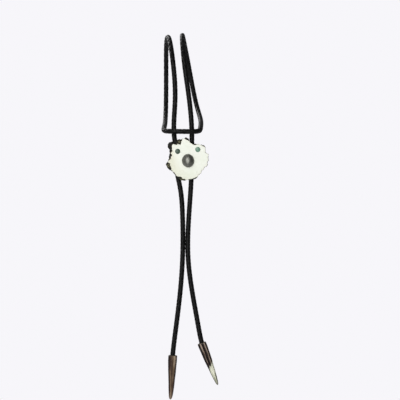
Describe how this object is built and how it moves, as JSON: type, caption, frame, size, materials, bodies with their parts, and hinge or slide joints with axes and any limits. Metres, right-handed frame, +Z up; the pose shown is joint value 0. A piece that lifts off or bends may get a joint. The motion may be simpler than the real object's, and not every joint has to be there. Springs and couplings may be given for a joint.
{
  "type": "bolo tie",
  "caption": "Hanging bolo tie: braided leather cord in a hitch, an antler burr slide with a domed stone and two turquoise dots, and antler tips.",
  "frame": {"origin": "on the crest of the rail that the cord hangs over, where the cord's underside bears on it, midway between the two strands", "axes": "+Z up, the slide's face towards -Y, +X to the right seen from the front"},
  "size_m": [0.0516, 0.0963, 0.3348],
  "materials": {
    "cord": "black braided leather, satin",
    "burr": "polished cream antler with a dark pearled natural rim",
    "centre_stone": "grey metallic polished stone",
    "turquoise": "green-blue turquoise, softly polished",
    "clasp": "plain satin steel",
    "tip_brown": "brown antler with lengthwise streaks",
    "tip_dark": "dark ridged antler, ivory towards the point"
  },
  "bodies": {
    "root": {"bolo_cord": "cord", "burr_slice": "burr", "centre_cabochon": "centre_stone", "turquoise_left": "turquoise", "turquoise_right": "turquoise", "slide_clasp": "clasp", "tip_left": "tip_brown", "tip_right": "tip_dark"}
  },
  "joints": []
}
